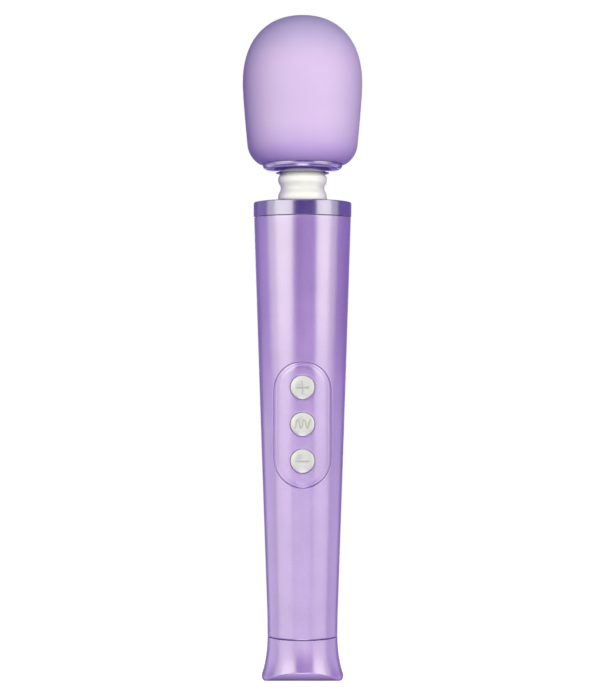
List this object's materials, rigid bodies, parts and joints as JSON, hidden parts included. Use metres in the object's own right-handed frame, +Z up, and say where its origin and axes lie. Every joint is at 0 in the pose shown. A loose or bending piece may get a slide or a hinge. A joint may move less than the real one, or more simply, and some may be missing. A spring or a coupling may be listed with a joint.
{
  "type": "handheld wand massager",
  "caption": "Rechargeable handheld wand massager: soft domed head on a flexing ribbed neck, metallic shoulder ring, tapered satin handle with a pill-shaped key panel and a flared tail.",
  "frame": {"origin": "centre of the tail's flat land, on the surface that the wand stands on", "axes": "+Z up the handle's axis to the head; the buttons face -Y; +X to the right seen from the buttons"},
  "size_m": [0.0458, 0.0458, 0.254],
  "materials": {
    "silicone_lilac": "matte silicone",
    "silicone_white": "soft satin silicone",
    "satin_lilac": "satin pearlescent lilac paint",
    "violet_metal": "violet anodised, brushed",
    "pearl": "silvery pearl",
    "white_plastic": "moulded",
    "grey_plastic": "moulded",
    "dark_plastic": "moulded",
    "steel": "plated",
    "brass": "machined",
    "nickel": "nickel strip",
    "circuit_board": "solder mask",
    "black_rubber": "moulded",
    "cell_wrap": "plastic-wrapped lithium cell",
    "red_wire": "insulated wire",
    "black_wire": "insulated wire"
  },
  "bodies": {
    "handle": {"barrel": "satin_lilac", "control_panel": "satin_lilac", "tail_cap": "satin_lilac", "neck_socket": "satin_lilac", "shoulder_ring": "violet_metal", "inner_frame": "grey_plastic", "battery_cradle": "grey_plastic", "inductor": "grey_plastic", "control_chip": "dark_plastic", "charge_chip": "dark_plastic", "tact_switch_plus": "dark_plastic", "tact_switch_mode": "dark_plastic", "tact_switch_minus": "dark_plastic", "charge_jack": "dark_plastic", "board_screw_1": "steel", "board_screw_2": "steel", "frame_screw_1": "steel", "frame_screw_2": "steel", "charge_board_screw_1": "steel", "charge_board_screw_2": "steel", "battery_top_tab": "nickel", "battery_bottom_tab": "nickel", "charge_jack_pin": "nickel", "main_board": "circuit_board", "charge_board": "circuit_board", "status_light": "white_plastic", "battery_connector": "white_plastic", "motor_connector": "white_plastic", "keypad_mat": "black_rubber", "tail_seal": "black_rubber", "battery_cell": "cell_wrap", "motor_lead_red": "red_wire", "battery_lead_red": "red_wire", "charge_lead_red": "red_wire", "motor_lead_black": "black_wire", "battery_lead_black": "black_wire", "charge_lead_black": "black_wire"},
    "neck_link": {"neck_spring": "steel", "neck_bellows": "silicone_white"},
    "head": {"head_cover": "silicone_lilac", "head_shell": "grey_plastic", "head_base": "grey_plastic", "head_collar": "violet_metal", "head_screw_1": "steel", "head_screw_2": "steel", "head_screw_3": "steel", "motor_mount": "dark_plastic", "motor_can": "steel", "motor_magnets": "dark_plastic", "motor_end_cap": "dark_plastic", "motor_bush": "brass", "motor_terminal_red": "brass", "motor_terminal_black": "brass"},
    "rotor": {"motor_shaft": "steel", "motor_armature": "brass", "eccentric_weight": "brass", "weight_set_screw": "steel"},
    "button_plus": {"button_plus": "pearl"},
    "button_mode": {"button_mode": "pearl"},
    "button_minus": {"button_minus": "pearl"}
  },
  "joints": [
    {"name": "neck_pitch", "type": "hinge", "parent": "handle", "child": "neck_link", "pos_m": [0, 0, 0.188], "axis": [1, 0, 0], "range_deg": [-15, 15], "stiffness_Nm_per_rad": 2, "deforming": ["neck_bellows", "neck_spring", "motor_lead_red", "motor_lead_black"]},
    {"name": "neck_roll", "type": "hinge", "parent": "neck_link", "child": "head", "pos_m": [0, 0, 0.188], "axis": [0, 1, 0], "range_deg": [-15, 15], "stiffness_Nm_per_rad": 2},
    {"name": "rotor_spin", "type": "hinge", "parent": "head", "child": "rotor", "pos_m": [0, 0, 0.2343], "axis": [0, 0, 1], "continuous": true},
    {"name": "press_plus", "type": "slide", "parent": "handle", "child": "button_plus", "axis": [0, 1, 0], "range_m": [0, 0.0006], "stiffness_N_per_m": 800, "deforming": ["keypad_mat"]},
    {"name": "press_mode", "type": "slide", "parent": "handle", "child": "button_mode", "axis": [0, 1, 0], "range_m": [0, 0.0006], "stiffness_N_per_m": 800},
    {"name": "press_minus", "type": "slide", "parent": "handle", "child": "button_minus", "axis": [0, 1, 0], "range_m": [0, 0.0006], "stiffness_N_per_m": 800}
  ]
}
